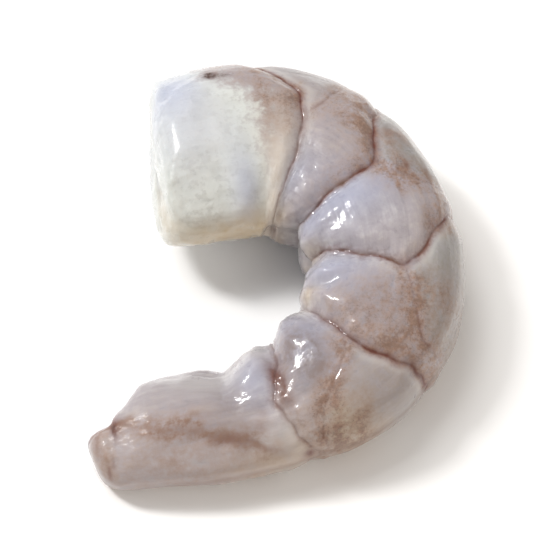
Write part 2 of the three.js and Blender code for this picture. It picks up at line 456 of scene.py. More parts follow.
# %% Cut face
FACE_EDGE = 0.93
FACE_BLUR = 0.25
MIDLINE_X = -1
MIDLINE_REACH = 5
MIDLINE_WIDTH = 0.7
MIDLINE_WAVE_HEIGHT = 0.4
MIDLINE_WAVES = 0.9
GUT_X = 7.2
GUT_SIZE = 0.9

cut_face = fall(share, FACE_EDGE, FACE_BLUR) * (place < LENGTH / 2)
midline_waver = MIDLINE_WAVE_HEIGHT * np.sin(MIDLINE_WAVES * x)
midline = cut_face * bell(y + midline_waver, MIDLINE_WIDTH) * bell(x - MIDLINE_X, MIDLINE_REACH)
gut = cut_face * bell(np.hypot(x - GUT_X, y), GUT_SIZE)
print("points on the cut face:", int((cut_face > 0.5).sum()))

# %% [markdown]
# ## Shaved planes
# A superellipse is round everywhere, and the real flesh isn't. Its head end is a block of broad planes that
# meet in soft edges, and two planes along the tail meet in a ridge. Each plane is the way it faces, its
# distance from the middle of the body and the softness of its edge. What sticks out past it is pushed back
# to it, on both flanks, which keeps the grid whole.

# %% Shaved planes
HEAD_PLANES = [
    ((-1, 0.0, 0.12), 6.9, 0.9), ((0.06, -0.5, 0.86), 8.3, 1.1), ((-0.72, 0.0, 0.69), 9.4, 1.1),
    ((-0.3, 0.35, 0.88), 8.8, 1.1), ((0.1, -0.9, 0.42), 11.2, 1.1), ((-0.36, -0.12, 0.92), 7.9, 0.8),
]
HEAD_PLANES_AT = 6
HEAD_PLANES_REACH = 16
TAIL_PLANES = [((0.0, 0.52, 0.86), 5.2, 0.9), ((0.08, -0.46, 0.88), 5.1, 0.9)]
TAIL_PLANES_AT = 75
TAIL_PLANES_REACH = 12
PLANE_FADE = 6


def shave(points, planes, middle, reach):
    """Pushes what sticks out past the planes back to them, around one place along the body."""
    nearby = fall(np.abs(place - middle), reach, PLANE_FADE)
    for direction, depth, softness in planes:
        for side in (1, -1):
            facing = np.array(direction) * (1, 1, side)
            beyond = (points - spine(np.array(middle))) @ (facing / np.linalg.norm(facing)) - depth
            push = (beyond + np.hypot(beyond, softness)) / 2 * nearby
            points = points - push[..., None] * facing
    return points


body = shave(body, HEAD_PLANES, HEAD_PLANES_AT, HEAD_PLANES_REACH)
body = shave(body, TAIL_PLANES, TAIL_PLANES_AT, TAIL_PLANES_REACH)
print("shaved body", size(body.min((0, 1)), body.max((0, 1)), unit=1), "mm")

# %% [markdown]
# ## The melted tail
# The stub that the tail fan leaves has no sharp corners. Averaging each ring with its two neighbours again
# and again melts the planes and the slanting cut into one soft lobe, much as a smoothing brush would.

# %% Melted tail
MELTED_LENGTH = 5.6
MELTING_ROUNDS = 18

first_melted = int(np.argmax(place[:, 0] > LENGTH - MELTED_LENGTH))
for _ in range(MELTING_ROUNDS):
    before, here, after = body[first_melted - 1:-2], body[first_melted:-1], body[first_melted + 1:]
    body[first_melted:-1] = (before + 2 * here + after) / 4
print(len(body) - first_melted, "rings melted")

# %% [markdown]
# ## Distances to the creases
# Whatever gathers at a crease, a valley or a brown band, fades with the distance from it. So each point
# gets its distance to the nearest crease, kept apart for points ahead of the crease, towards the head, and
# points behind it. It also gets its distance to the nearest fork, to the groove along the belly and to the
# tail's seam. A wedge is what lies between a crease and its fork, and some wedges are greyer than others.

# %% Distances
PROBE = 0.01
FAR_AWAY = 99.0
ROOT_FAINTNESS = 0.6
BELLY_FROM = 18
BELLY_TO = 68
SEAM_WAVERS = ((0.007, 0.9), (0.006, 2.3))
WEDGES = (0.35, 1.0, 0.8, 0.4)
WEDGE_EDGE = 1.5


def gap_to(line):
    """Millimetres over the flesh to a line, less than 0 in front of it, and how far past the line's ends."""
    on = np.clip(girth, line[0][0], line[-1][0])
    slope = (line_place(line, on + PROBE) - line_place(line, on - PROBE)) / (2 * PROBE) / half_girth
    return (place - line_place(line, on)) * stretch / np.hypot(1, slope * stretch), (girth - on) * half_girth


def distance_to(line):
    """Millimetres over the flesh to the nearest point of a line."""
    return np.hypot(*gap_to(line))


ahead = np.full_like(place, FAR_AWAY)
behind = np.full_like(place, FAR_AWAY)
for line in CREASES:
    across, past = gap_to(line)
    ahead = np.where(across < 0, np.minimum(ahead, np.hypot(across, past)), ahead)
    behind = np.where(across >= 0, np.minimum(behind, np.hypot(across, past)), behind)
deep = np.minimum(ahead, behind)
fork = np.minimum.reduce([distance_to(line) for line in FORKS])
fork = np.minimum(fork, distance_to(ROOT_BULGE) + ROOT_FAINTNESS)
bare = gap_to(SKIN_FRONT)[0]
belly = np.hypot(girth * half_girth, np.maximum(np.maximum(BELLY_FROM - place, place - BELLY_TO), 0))
seam_girth = along(TAIL_SEAM, place)
for height, waves in SEAM_WAVERS:
    seam_girth = seam_girth + height * np.sin(waves * place)
seam = np.hypot((girth - seam_girth) * half_girth, np.maximum(TAIL_SEAM[0][0] - place, 0))
wedge = np.zeros_like(place)
for crease, line, greyness in zip(CREASES, FORKS, WEDGES):
    inside = np.minimum(gap_to(crease)[0], -gap_to(line)[0])
    wedge = np.maximum(wedge, greyness * smooth(inside / WEDGE_EDGE) * (girth > line[0][0]))
print("points within 1 mm of a crease:", int((deep < 1).sum()))

# %% [markdown]
# ## Patches
# What makes the flesh look grown and not turned on a lathe is irregular: a swelling here, a brown cloud or
# a bluish gleam there. Each patch is a soft oval, written as its place, its girth, how far it reaches along
# and around the body, and how strong it is. The patches fade towards the middle of the end caps, where all
# girths meet.

# %% Patches
PATCH_EDGE = 0.55


def patches(spots):
    """The sum of soft oval patches on the skin."""
    total = np.zeros_like(place)
    outer = smooth(share / PATCH_EDGE)
    for at, around, reach_along, reach_around, strength in spots:
        far = np.hypot((place - at) * stretch / reach_along, (girth - around) * half_girth / reach_around)
        total += strength * bell(far, 1) * outer
    return total


print("one patch covers", int((patches([(30, 0.5, 3, 3, 1)]) > 0.5).sum()), "points")

# %% [markdown]
# ## Swellings
# These patches lift the flesh, in millimetres, or sink it where the last number is below 0. The largest
# give the belly side its row of humps. Five small folds pucker each block of muscle there. They repeat from
# block to block, so a loop places them.

# %% Swellings
SWELLINGS = [
    (4.5, 0.88, 4, 5, -0.6), (5.5, 0.6, 2.4, 5, 0.3), (5.8, 0.34, 1.2, 6, -0.3),
    (9.3, 0.27, 2.8, 6, 0.45), (17, 0.3, 1.8, 5, 0.5), (3, 0.18, 3, 3.5, 0.3), (31, 0.42, 3.2, 5, 0.35),
    (33.5, 0.2, 2.4, 2, 0.4), (43, 0.27, 2.6, 2.6, 0.45), (46, 0.3, 1.4, 2, -0.3),
    (48, 0.36, 2.2, 3, 0.35), (56, 0.36, 2.4, 2.6, 0.5), (59, 0.24, 2, 1.8, 0.35),
    (65.8, 0.36, 2.4, 3.2, 0.9), (76, 0.33, 6, 3, 0.35), (82.6, 0.22, 0.7, 3.5, 0.35),
    (73, 0.82, 7, 5, 0.3),
]
BLOCKS = [(29.2, 38.6), (39.6, 51.2), (52, 61.4), (62, 68.5)]
FOLDS = [(0.2, 0.1), (0.5, 0.16), (0.8, 0.09), (0.35, 0.28), (0.78, 0.3)]
FOLD_LENGTH = 1.2
FOLD_WIDTH = 1.7
FOLD_HEIGHT = 0.22
LONGER_FOLD = 0.2
HIGHER_FOLD = 0.06

for first, last in BLOCKS:
    for k, (part, side) in enumerate(FOLDS):
        fold_length = FOLD_LENGTH + LONGER_FOLD * (k % 3)
        fold_height = FOLD_HEIGHT + HIGHER_FOLD * (k % 2)
        SWELLINGS.append((first + part * (last - first), side, fold_length, FOLD_WIDTH, fold_height))
print(len(SWELLINGS), "swellings")

# %% [markdown]
# ## Brown clouds and tints
# The back of a raw shrimp is clouded with fine brown grains, and the tail is tinted a smoother brown. Both
# lists only say where. The material says how the grains look.

# %% Brown clouds and tints
CLOUDS = [
    (11.5, 0.84, 4.5, 6, 0.75), (14.5, 0.6, 2.4, 4, 0.65), (17.3, 0.64, 1.4, 4, 0.5),
    (28, 0.86, 3, 5, 0.35), (21.5, 0.84, 3.4, 5, 0.8), (24, 0.72, 1.6, 5, 0.4), (22, 0.62, 4, 3.5, 0.4),
    (26.8, 0.7, 1.8, 3.5, 0.45), (31, 0.66, 2.4, 2.4, 0.9), (34, 0.87, 3.6, 4.5, 0.7),
    (36.6, 0.78, 1.8, 3, 0.7), (44, 0.86, 4, 6, 0.5), (44, 0.65, 3, 3, 0.5), (49.5, 0.78, 3.5, 7, 0.6),
    (47, 0.52, 4, 5, 0.4), (56.5, 0.74, 3.5, 5, 0.15), (58, 0.94, 4, 4, 0.6), (58, 0.78, 3, 4, 0.45),
    (67, 0.86, 4.5, 4, 0.3), (46, 0.94, 4, 4, 0.35), (40, 0.92, 2, 4, 0.3), (59.8, 0.86, 2, 5, 0.35),
    (77, 0.82, 9, 6, 0.28), (85.5, 0.6, 1.6, 7, 0.35), (30, 0.62, 3, 2, 0.4),
]
TINTS = [
    (77, 0.84, 9, 7, 0.42), (75, 0.55, 3.5, 1.2, 0.5), (67.5, 0.72, 2.5, 2, 0.4), (54, 0.75, 4, 5, 0.3),
    (85.3, 0.6, 1.8, 5, 0.3),
]
print(len(CLOUDS), "clouds and", len(TINTS), "tints")

# %% [markdown]
# ## Gleams, warm glow, cream and painted shade
# Half clear flesh has no single colour. The bluish gleams on the swellings are partly the flesh's own tone
# and partly a painted sheen. Honey patches are a painted warm glow at thin edges and near the table, where
# light would shine through and bounce up, with some of the flesh's own warmer tone. Cream patches are cream
# muscle, and on the belly strip behind the head end they also paint light onto a slope in shade. Dusky
# patches are painted shade.

# %% Gleams, warm glow, cream and painted shade
# Bluish gleams: partly the flesh's own bluish tone and partly a painted sheen on the swellings.
GLEAMS = [
    (3, 0.69, 5, 7, 1.0), (9.2, 0.27, 2.5, 5.5, 0.8), (20.5, 0.34, 2.6, 4, 0.6), (31, 0.42, 4, 6, 0.9),
    (32, 0.2, 3, 3, 0.5), (43, 0.3, 3.5, 5, 0.85), (57, 0.35, 3.5, 4.5, 0.9), (65.5, 0.42, 2.5, 2.8, 0.7),
]
# Painted warm glow: honey at thin edges and near the table, where light would shine through the flesh and
# bounce up from the table, with some of the flesh's own warmer tone.
WARM_GLOW_AND_TONE = [
    (5, 0.0, 7, 3.3, 0.9), (13, 0.04, 4, 5, 0.7), (15, 0.5, 2.4, 5, 0.35), (17, 0.3, 1.8, 6, 0.3),
    (22, 0.1, 3.4, 3.4, 0.55), (37, 0.12, 1.8, 3, 0.5), (49, 0.2, 1.6, 1.6, 0.7), (58, 0.96, 5, 4, 0.5),
    (58, 0.78, 3, 4, 0.6), (66, 0.96, 6, 4, 0.5), (85, 0.65, 1.5, 4, 0.25),
]
# Cream muscle. The first two patches also paint light onto the belly strip behind the head end, which lies
# in shade.
CREAMS_AND_PAINTED_LIGHT = [
    (17, 0.3, 2.1, 6, 1.2), (17, 0.1, 1.6, 4, 0.9), (5, 0.55, 4, 4, 0.4), (7, 0.1, 3, 3, 0.4),
    (30, 0.1, 1.2, 2, 0.3), (52.6, 0.2, 1.2, 2, 0.5), (63, 0.2, 1.2, 2.5, 0.5), (72, 0.3, 5, 2.4, 0.4),
    (63, 0.76, 1.4, 2.5, 0.6), (66, 0.75, 2.5, 3, 0.3), (77, 0.8, 8, 4, 0.22),
]
# Painted shade: darker grey lilac where shade falls on the flesh.
PAINTED_SHADES = [
    (26.5, 0.75, 2.5, 5, 0.6), (29.5, 0.9, 2, 4, 0.5), (33.5, 0.3, 2, 2.5, 0.25), (39, 0.33, 1.2, 4, 0.4),
    (47, 0.52, 3, 4, 0.4), (58.6, 0.47, 2.6, 3, 0.9), (57, 0.4, 2.5, 4, 0.75), (68.6, 0.5, 2.5, 3, 0.6),
    (43, 0.85, 3, 4, 0.3), (3, 0.2, 4, 6, 0.15), (62.5, 0.47, 1.2, 3, 0.6), (75, 0.36, 6, 4, 0.35),
]
print(len(GLEAMS), "gleams,", len(WARM_GLOW_AND_TONE), "warm,", len(CREAMS_AND_PAINTED_LIGHT), "cream and", len(PAINTED_SHADES), "dusky patches")

# %% [markdown]
# ## Marks, pits and dull places
# Small dark marks sit where creases end and where the tail fan was torn off, and a pit near the head end is
# almost black. The mark at the belly end of the first crease is painted shade in the corner there. The flesh
# hardly mirrors the light at the dull places, and the creases lie shallower where the last list says.

# %% Marks, pits and dull places
MARKS = [
    (50.6, 0.98, 0.8, 0.8, 1.0), (62.1, 0.96, 0.8, 0.8, 1.0), (62.5, 0.48, 0.9, 2.4, 1.4),
    (69.8, 0.7, 2.6, 0.5, 0.45), (83.5, 0.14, 0.8, 4.2, 1.5), (86, 0.2, 0.5, 5, 1.1),
    (83, 0.46, 0.7, 1.6, 1.1), (84.2, 0.74, 0.3, 0.8, 0.6), (84.9, 0.84, 0.3, 1.3, 0.75),
    (8.9, 0.7, 1.6, 1.0, 0.5), (37.2, 0.72, 0.9, 1.3, 0.7), (30.2, 0.68, 0.7, 0.5, 0.8),
    # The mark at place 19.8 and girth 0.03 is painted shade in the corner where the first crease meets the
    # belly.
    (31, 0.78, 0.8, 0.5, 0.6), (19.8, 0.03, 1.2, 2, 0.6), (65.6, 0.6, 0.8, 0.8, 0.35),
    (66.4, 0.68, 0.7, 0.9, 0.3),
]
PITS = [(8.6, 0.71, 0.6, 0.55, 2.4), (9.8, 0.69, 1.2, 0.45, 0.7), (83.1, 0.45, 0.45, 1.1, 0.9)]
DULL_PLACES = [
    (76, 0.78, 9, 7, 1.0), (83, 0.55, 3, 7, 0.9), (79.5, 0.53, 3, 3, 0.9), (58, 0.9, 6, 6, 0.5),
    (14, 0.8, 5, 6, 0.5),
]
SHALLOWS = [(18.6, 0.25, 3, 7, 0.85)]
print(len(MARKS), "marks and", len(PITS), "pits")

# %% [markdown]
# ## Ink and bands
# The dark line in a crease isn't equally strong all round. It fades towards the belly, and so does the
# brown band just in front of it. Three numbers for each crease say how strong it is at the belly, on the
# flank and at the back.

# %% Ink and bands
CREASE_INK = [(0.3, 0.65, 0.8), (0.35, 0.9, 1.0), (0.5, 0.85, 1.0), (0.2, 0.75, 0.9), (0.2, 0.55, 0.3)]
CREASE_BAND = [(0.1, 0.15, 0.5), (0.1, 0.65, 0.9), (0, 0.1, 0.7), (0, 0.45, 0.9), (0.2, 0.35, 0.35)]
FORK_BAND = (0.2, 0.9, 0.4, 0.7)
INK_GIRTHS = (0.1, 0.5, 0.8)
BAND_IN_FRONT = 2.7
BAND_BEHIND = 0.5
FORK_BAND_WIDTH = 1.5


def by_girth(values):
    """A belly, flank and back value, as a smooth curve over the girth."""
    return along(list(zip(INK_GIRTHS, values)), girth)


ink = np.zeros_like(place)
band = np.zeros_like(place)
nearest = np.full_like(place, FAR_AWAY)
for line, darkness, brownness in zip(CREASES, CREASE_INK, CREASE_BAND):
    across = gap_to(line)[0]
    ink = np.where(np.abs(across) < nearest, by_girth(darkness), ink)
    nearest = np.minimum(nearest, np.abs(across))
    beside = np.where(across < 0, bell(across, BAND_IN_FRONT), bell(across, BAND_BEHIND))
    band = np.maximum(band, by_girth(brownness) * beside)
for line, brownness in zip(FORKS, FORK_BAND):
    band = np.maximum(band, brownness * bell(distance_to(line), FORK_BAND_WIDTH))
print("ink from", round(float(ink.min()), 2), "to", round(float(ink.max()), 2))

# %% [markdown]
# ## Seam, vein and pale rims
# The tail's seam is a brown band with a dark line in it, darkest at the tail's root and near its tip. The
# gut shows through the back as a faint dark vein. Just behind a crease the flesh has a pale rim. All three
# are formulas on the distances.

# %% Seam, vein and pale rims
SEAM_FROM = 63
SEAM_BAND = 0.85
SEAM_BAND_WIDTH = 1.1
SEAM_BAND_RISE = 6
SEAM_INK = 1.3
SEAM_INK_RISE = 4
SEAM_LINE_WIDTH = 0.5
SEAM_WIDENING = 0.35
LEAST_SEAM_INK = 0.35
DARKEST_SEAM = ((69, 2.6), (83, 2))
VEIN_INK = 0.42
VEIN_WIDTH = 0.6
RIM_STRENGTH = 0.45
RIM_DISTANCE = 1.1
RIM_WIDTH = 0.5

core = np.maximum.reduce([bell(place - at, reach) for at, reach in DARKEST_SEAM])
seam_band = SEAM_BAND * bell(seam, SEAM_BAND_WIDTH) * rise(place, SEAM_FROM, SEAM_BAND_RISE)
seam_line = SEAM_INK * bell(seam, SEAM_LINE_WIDTH + SEAM_WIDENING * core)
seam_line = seam_line * rise(place, SEAM_FROM, SEAM_INK_RISE)
seam_line = seam_line * (LEAST_SEAM_INK + (1 - LEAST_SEAM_INK) * core)
vein = VEIN_INK * bell((1 - girth) * half_girth, VEIN_WIDTH)
vein = vein * rise(place, start=7, run=2) * fall(place, end=83, run=10)
rim = RIM_STRENGTH * bell(behind - RIM_DISTANCE, RIM_WIDTH)
rim = rim * rise(girth, start=0.35, run=0.2) * fall(place, end=60, run=4)
print("points on the vein:", int((vein > VEIN_INK / 2).sum()))

# %% [markdown]
# ## Fields of form and colour
# Everything so far becomes one number for each point and each purpose. Three fields shape the flesh: how
# deep the creases are, which is less towards the back, how pleated the belly is, and how far the flesh
# swells. The others only colour it. Those that are sums of patches are kept between 0 and 1.

# %% Fields
CREASE_EASE = [(0, 1), (0.4, 1), (0.75, 0.6), (1, 0.5)]
FACE_PLEATS = 0.8
MIDLINE_DEPTH = 0.35
GUT_DEPTH = 0.5
GUT_INK = 1.1

ease = along(CREASE_EASE, girth) * (1 - patches(SHALLOWS))
pleats = fall(girth, end=0.5, run=0.25) * rise(place, start=24, run=6) * fall(place, end=70, run=4)
pleats = np.maximum(pleats, FACE_PLEATS * cut_face)
swelling = patches(SWELLINGS) - MIDLINE_DEPTH * midline - GUT_DEPTH * gut
colour_fields = {
    "cloud": patches(CLOUDS) + band,
    "tint": patches(TINTS) + seam_band,
    # bluish tone and painted sheen
    "gleam": patches(GLEAMS),
    # painted warm glow, with some warmer tone of the flesh
    "warm_glow_and_tone": patches(WARM_GLOW_AND_TONE),
    # cream muscle, with painted light on the belly strip behind the head end
    "cream_and_painted_light": patches(CREAMS_AND_PAINTED_LIGHT),
    # painted shade
    "painted_shade": patches(PAINTED_SHADES),
    "mark": patches(MARKS) + GUT_INK * gut,
    "pit": patches(PITS),
    "matte": patches(DULL_PLACES),
}
colour_fields = {name: np.clip(values, 0, 1) for name, values in colour_fields.items()}
colour_fields.update(seam_line=np.maximum(seam_line, vein), rim=rim, wedge=wedge)
colour_fields.update(face=cut_face, midline=midline)
print("fields of colour", list(colour_fields))

# %% [markdown]
# ## A mesh that carries its facts
# A mesh keeps any number of named attributes on its points. The distances and fields go there, so that
# Geometry Nodes can shape the flesh with them and the material can colour it with them.

# %% Mesh with attributes
TIP_BULGE = 0.05


def skin_mesh(name, points, tips, facts):
    """A closed mesh from rings of points and two tips, with one attribute for each fact."""
    count, around = points.shape[:2]
    ring = np.arange(count - 1)[:, None] * around
    j = np.arange(around)
    k = (j + 1) % around
    quads = np.stack([ring + j, ring + k, ring + around + k, ring + around + j], -1).reshape(-1, 4)
    last = (count - 1) * around
    head, tail = count * around, count * around + 1
    head_cap = [(head, int(b), int(a)) for a, b in zip(j, k)]
    tail_cap = [(tail, last + int(a), last + int(b)) for a, b in zip(j, k)]
    mesh = bpy.data.meshes.new(name)
    everything = np.concatenate([points.reshape(-1, 3), tips]) * MM
    mesh.from_pydata(everything.tolist(), [], quads.tolist() + head_cap + tail_cap)
    for key, values in facts.items():
        vector = values.ndim == 3
        values = values.reshape(-1, 3) if vector else values.reshape(-1)
        ends = np.stack([values[:around].mean(0), values[last:].mean(0)])
        layer = mesh.attributes.new(key, "FLOAT_VECTOR" if vector else "FLOAT", "POINT")
        layer.data.foreach_set("vector" if vector else "value", np.concatenate([values, ends]).ravel())
    mesh.update()
    return mesh


tips = np.stack([body[0].mean(0), body[-1].mean(0) + TIP_BULGE * tangent[-1, 0]])
facts = {
    "outward": outward, "straight": straight, "girth": girth, "ahead": ahead, "behind": behind, "deep": deep,
    "fork": fork, "seam": seam, "belly": belly, "bare": bare, "ease": ease, "pleats": pleats,
    "swelling": swelling, "ink": ink, **colour_fields,
}
plain = bpy.data.objects.new("plain_body", skin_mesh("plain_body", body, tips, facts))
scene.collection.objects.link(plain)
print("attributes", list(facts))

# %% [markdown]
# ## Formulas as nodes
# The relief and the finish are both formulas, which Geometry Nodes and material nodes can work out. Joining
# dozens of math nodes by hand is slow to read, so a small helper adds, multiplies and makes soft steps and
# cloudy patterns. Each answer is a socket that the next formula can use.

# %% Node helpers


class Sums:
    """Writes formulas as nodes in one node tree. A value is a number or another node's socket."""

    def __init__(self, tree):
        self.tree = tree

    def feed(self, node, inputs):
        """Links or sets some inputs of a node, by name or number."""
        for key, value in inputs.items():
            if isinstance(value, bpy.types.NodeSocket):
                self.tree.links.new(value, node.inputs[key])
            else:
                node.inputs[key].default_value = value

    def node(self, kind, inputs=(), **settings):
        """A new node with these inputs and settings."""
        made = self.tree.nodes.new(kind)
        for key, value in settings.items():
            setattr(made, key, value)
        self.feed(made, dict(inputs))
        return made

    def calc(self, operation, *values, clamp=False):
        """One math node."""
        made = self.node("ShaderNodeMath", enumerate(values), operation=operation, use_clamp=clamp)
        return made.outputs[0]

    def chain(self, operation, first, others):
        """The same operation over any number of values."""
        for other in others:
            first = self.calc(operation, first, other)
        return first

    def add(self, first, *others):
        """The sum."""
        return self.chain("ADD", first, others)

    def mul(self, first, *others):
        """The product."""
        return self.chain("MULTIPLY", first, others)

    def highest(self, first, *others):
        """The largest value."""
        return self.chain("MAXIMUM", first, others)

    def bell(self, distance, width):
        """The same bell as above."""
        ratio = self.calc("DIVIDE", distance, width)
        return self.calc("EXPONENT", self.mul(ratio, ratio, -1.0))

    def step(self, value, low, high):
        """A soft step from 0 at low to 1 at high."""
        inputs = enumerate((value, low, high, 0.0, 1.0))
        return self.node("ShaderNodeMapRange", inputs, interpolation_type="SMOOTHSTEP").outputs[0]

    def squeeze(self, vector, factors):
        """A vector multiplied axis by axis."""
        return self.node("ShaderNodeVectorMath", {0: vector, 1: factors}, operation="MULTIPLY").outputs[0]

    def noise(self, vector, scale, detail, shift, rough=0.5):
        """A cloudy pattern between -0.5 and 0.5."""
        inputs = {"Vector": vector, "Scale": scale, "W": shift, "Detail": detail, "Roughness": rough}
        made = self.node("ShaderNodeTexNoise", inputs, noise_dimensions="4D")
        return self.calc("SUBTRACT", made.outputs[0], 0.5)


print("helpers ready")

# %% [markdown]
# ## The relief's inputs
# Swellings, creases and dents are one rule applied to every point, which is what Geometry Nodes do best.
# Its sizes become named inputs, in millimetres, that can be tuned while looking at the result. A seed fixes
# every noise, so the shrimp comes out the same each time.

# %% Relief inputs
RELIEF = {
    "Pillow height": 0.9, "Run ahead": 1.4, "Run behind": 2.4, "Crease depth": 0.16, "Crease width": 0.22,
    "Fork share": 0.4, "Seam share": 0.3, "Belly groove": 0.9, "Belly width": 2.0, "Skin edge": 0.1,
    "Ragged height": 2.5, "Ragged size": 2.2, "Dent height": 0.55, "Dent size": 5.0, "Ripple height": 0.16,
    "Ripple size": 2.0, "Fibre height": 0.06, "Fibre size": 0.8, "Wrinkle height": 0.13, "Wrinkle size": 1.2,
    "Pleat height": 0.16, "Pleat size": 1.6, "Seed": 7.0,
}

relief = bpy.data.node_groups.new("flesh_relief", "GeometryNodeTree")
relief.interface.new_socket("Geometry", in_out="OUTPUT", socket_type="NodeSocketGeometry")
relief.interface.new_socket("Geometry", in_out="INPUT", socket_type="NodeSocketGeometry")
sockets = {}
for name in RELIEF:
    sockets[name] = relief.interface.new_socket(name, in_out="INPUT", socket_type="NodeSocketFloat")
print(len(sockets), "inputs")

# %% [markdown]
# ## Swellings and creases
# The flesh dips towards a crease, steeply on the side of the head and gently on the side of the tail, so
# each block looks tucked under the one before it. A narrow cut marks the crease itself. Forks and the
# tail's seam get a share of the same dip.

# %% Swellings and creases


def read(sums, name, kind="FLOAT"):
    """A fact that the mesh carries."""
    made = sums.node("GeometryNodeInputNamedAttribute", {"Name": name}, data_type=kind)
    return made.outputs["Attribute"]


def crease_height(sums, given):
    """The swellings, less the valleys at the creases and the groove along the belly."""
    run, width, share = given["Run behind"], given["Crease width"], given["Fork share"]
    fork_at = read(sums, "fork")
    dip = sums.highest(
        sums.bell(read(sums, "ahead"), given["Run ahead"]),
        sums.bell(read(sums, "behind"), run),
        sums.mul(sums.bell(fork_at, run), share),
        sums.mul(sums.bell(read(sums, "seam"), run), given["Seam share"]),
    )
    cut = sums.highest(sums.bell(read(sums, "deep"), width), sums.mul(sums.bell(fork_at, width), share))
    valley = sums.add(sums.mul(dip, given["Pillow height"]), sums.mul(cut, given["Crease depth"]))
    groove = sums.mul(sums.bell(read(sums, "belly"), given["Belly width"]), given["Belly groove"], -1.0)
    return sums.add(sums.mul(valley, read(sums, "ease"), -1.0), read(sums, "swelling"), groove)


print("creases ready")

# %% [markdown]
# ## Dents, ripples and fibres
# Five noises roughen the flesh: large dents, ripples that grow towards the belly, lengthwise muscle fibres,
# wrinkles that pucker the edges of the creases, and pleats at the belly. A sixth makes the front edge of
# the skin ragged. They are read in the straightened body, so they follow the curl. Each is written as how
# many times longer than wide it is, how much fine detail it has, and a shift that makes it differ from the
# others.

# %% Dents, ripples and fibres
ROUGHNESS = {
    "Dent": (1.2, 1.5, 0.0), "Ripple": (1.3, 2.0, 5.0), "Fibre": (9.0, 1.0, 11.0),
    "Wrinkle": (0.35, 2.0, 23.0), "Pleat": (0.45, 2.0, 41.0), "Ragged": (1.0, 3.0, 31.0),
}
BELLY_RIPPLE = 1.8
RIPPLE_FADE = 1.4
SKIN_EDGE_HALF = 0.8
WRINKLE_REACH = 3.0


def roughness(sums, given, name):
    """One of the noises, as high as its input says."""
    longer, detail, shift = ROUGHNESS[name]
    where = sums.squeeze(read(sums, "straight", "FLOAT_VECTOR"), (1 / longer, 1, 1))
    scale = sums.calc("DIVIDE", 1.0, given[name + " size"])
    pattern = sums.noise(where, scale, detail, sums.add(given["Seed"], shift))
    return sums.mul(pattern, 2.0, given[name + " height"])


def relief_height(sums, given):
    """The height of the flesh over the plain body, in millimetres, as one socket."""
    stronger = sums.calc("SUBTRACT", BELLY_RIPPLE, sums.mul(read(sums, "girth"), RIPPLE_FADE))
    ripples = sums.mul(roughness(sums, given, "Ripple"), stronger)
    ragged = sums.add(read(sums, "bare"), roughness(sums, given, "Ragged"))
    edge = sums.mul(sums.step(ragged, -SKIN_EDGE_HALF, SKIN_EDGE_HALF), given["Skin edge"])
    wrinkles = sums.mul(roughness(sums, given, "Wrinkle"), sums.bell(read(sums, "deep"), WRINKLE_REACH))
    pleated = sums.mul(roughness(sums, given, "Pleat"), read(sums, "pleats"))
    dents, fibres = roughness(sums, given, "Dent"), roughness(sums, given, "Fibre")
    return sums.add(crease_height(sums, given), dents, ripples, fibres, edge, wrinkles, pleated)


print(len(ROUGHNESS), "noises ready")

# %% [markdown]
# ## The relief tree
# The tree moves each point along its outward direction by the height, and presses whatever would sink into
# the table flat. Realize Instances and Set Material end it, so that a plain mesh with its finish comes out.

# %% Relief tree
flesh = bpy.data.materials.new("raw_flesh")


def build_relief(tree):
    """Joins the relief to the geometry: move, press flat, realize, and set the material."""
    sums = Sums(tree)
    source = sums.node("NodeGroupInput")
    given = {name: source.outputs[name] for name in RELIEF}
    made = source.outputs["Geometry"]
    height = sums.mul(relief_height(sums, given), MM)
    offset = {0: read(sums, "outward", "FLOAT_VECTOR"), "Scale": height}
    offset = sums.node("ShaderNodeVectorMath", offset, operation="SCALE").outputs[0]
    made = sums.node("GeometryNodeSetPosition", {"Geometry": made, "Offset": offset}).outputs[0]
    pressed = {0: sums.node("GeometryNodeInputPosition").outputs[0], 1: (-1, -1, 0)}
    pressed = sums.node("ShaderNodeVectorMath", pressed, operation="MAXIMUM").outputs[0]
    made = sums.node("GeometryNodeSetPosition", {"Geometry": made, "Position": pressed}).outputs[0]
    made = sums.node("GeometryNodeRealizeInstances", {"Geometry": made}).outputs[0]
    made = sums.node("GeometryNodeSetMaterial", {"Geometry": made, "Material": flesh}).outputs[0]
    sums.node("NodeGroupOutput", {"Geometry": made})
    return len(tree.nodes)


print("relief tree of", build_relief(relief), "nodes")

# %% [markdown]
# ## The finished skin
# The modifier gets its inputs, the result is taken as a plain mesh, and the modifier goes. The skin is then
# centred on the solid, because its relief isn't the same on all sides.

# %% Apply the relief
modifier = plain.modifiers.new("relief", "NODES")
modifier.node_group = relief
for name, value in RELIEF.items():
    modifier[sockets[name].identifier] = value
graph = bpy.context.evaluated_depsgraph_get()
relieved = plain.evaluated_get(graph)
finished = bpy.data.meshes.new_from_object(relieved, preserve_all_data_layers=True, depsgraph=graph)
plain.modifiers.remove(modifier)
bpy.data.objects.remove(plain)
finished.name = "shrimp_flesh"
finished.polygons.foreach_set("use_smooth", np.ones(len(finished.polygons), bool))

points = np.empty(len(finished.vertices) * 3)
finished.vertices.foreach_get("co", points)
points = points.reshape(-1, 3)
solid_low, solid_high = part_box("shrimp")
solid_middle = np.array((solid_low + solid_high) / 2)
skin_middle = (points.min(0) + points.max(0)) / 2
points[:, :2] += (solid_middle - skin_middle)[:2]
finished.vertices.foreach_set("co", points.ravel())
finished.update()
shrimp = bpy.data.objects.new("shrimp_flesh", finished)
scene.collection.objects.link(shrimp)
print("finished flesh", size(points.min(0), points.max(0)), "mm")

# %% [markdown]
# ## The finish of raw flesh
# Light goes into raw shrimp, spreads and comes out elsewhere, so subsurface scattering does most of the
# work, and a thin clear coat makes it wet. The bare flesh at the head end is bluish white, the belly half
# is lilac grey, and the back is clouded with fine brown grains, which gather beside the thin dark creases.
# These are the colours that get mixed.

